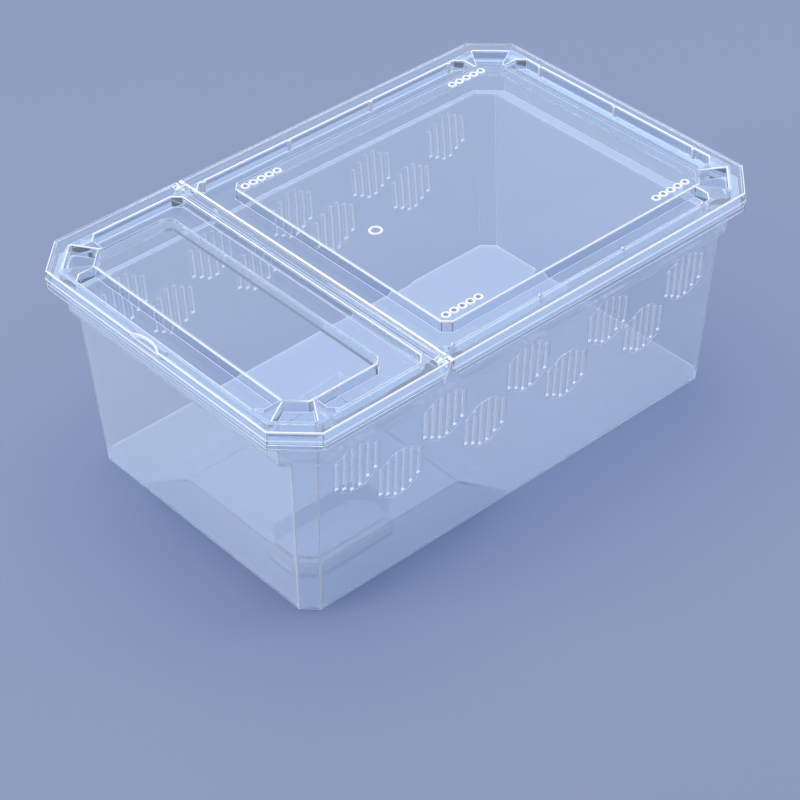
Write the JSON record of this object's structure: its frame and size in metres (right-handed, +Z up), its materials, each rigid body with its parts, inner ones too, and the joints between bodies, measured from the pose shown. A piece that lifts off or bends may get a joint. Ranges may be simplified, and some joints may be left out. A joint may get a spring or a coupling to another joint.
{
  "type": "reptile breeding box",
  "caption": "Clear stackable reptile breeding box: tapered tub with slotted long walls, lift-off lid with a hinged feeding lid, and a corner platform with ramps and a dish.",
  "frame": {"origin": "middle of the base, on the surface that the box stands on", "axes": "+Z up, +X along the box from the hinged front lid to the large rear lid, +Y across it"},
  "size_m": [0.3018, 0.1988, 0.1205],
  "materials": {
    "tub_plastic": "clear, glossy, faintly blue",
    "lid_plastic": "clear, glossy, a little cloudier than the tub",
    "platform_plastic": "clear with a light haze"
  },
  "bodies": {
    "tub": {"tub": "tub_plastic", "feeding_platform": "platform_plastic"},
    "rear_lid": {"rear_lid": "lid_plastic"},
    "front_lid": {"front_lid": "lid_plastic"}
  },
  "joints": [
    {"name": "lid_lift", "type": "slide", "parent": "tub", "child": "rear_lid", "axis": [0, 0, 1], "range_m": [0, 0.06]},
    {"name": "front_lid_hinge", "type": "hinge", "parent": "rear_lid", "child": "front_lid", "pos_m": [-0.0612, 0, 0.1181], "axis": [0, 1, 0], "range_deg": [0, 100]}
  ]
}
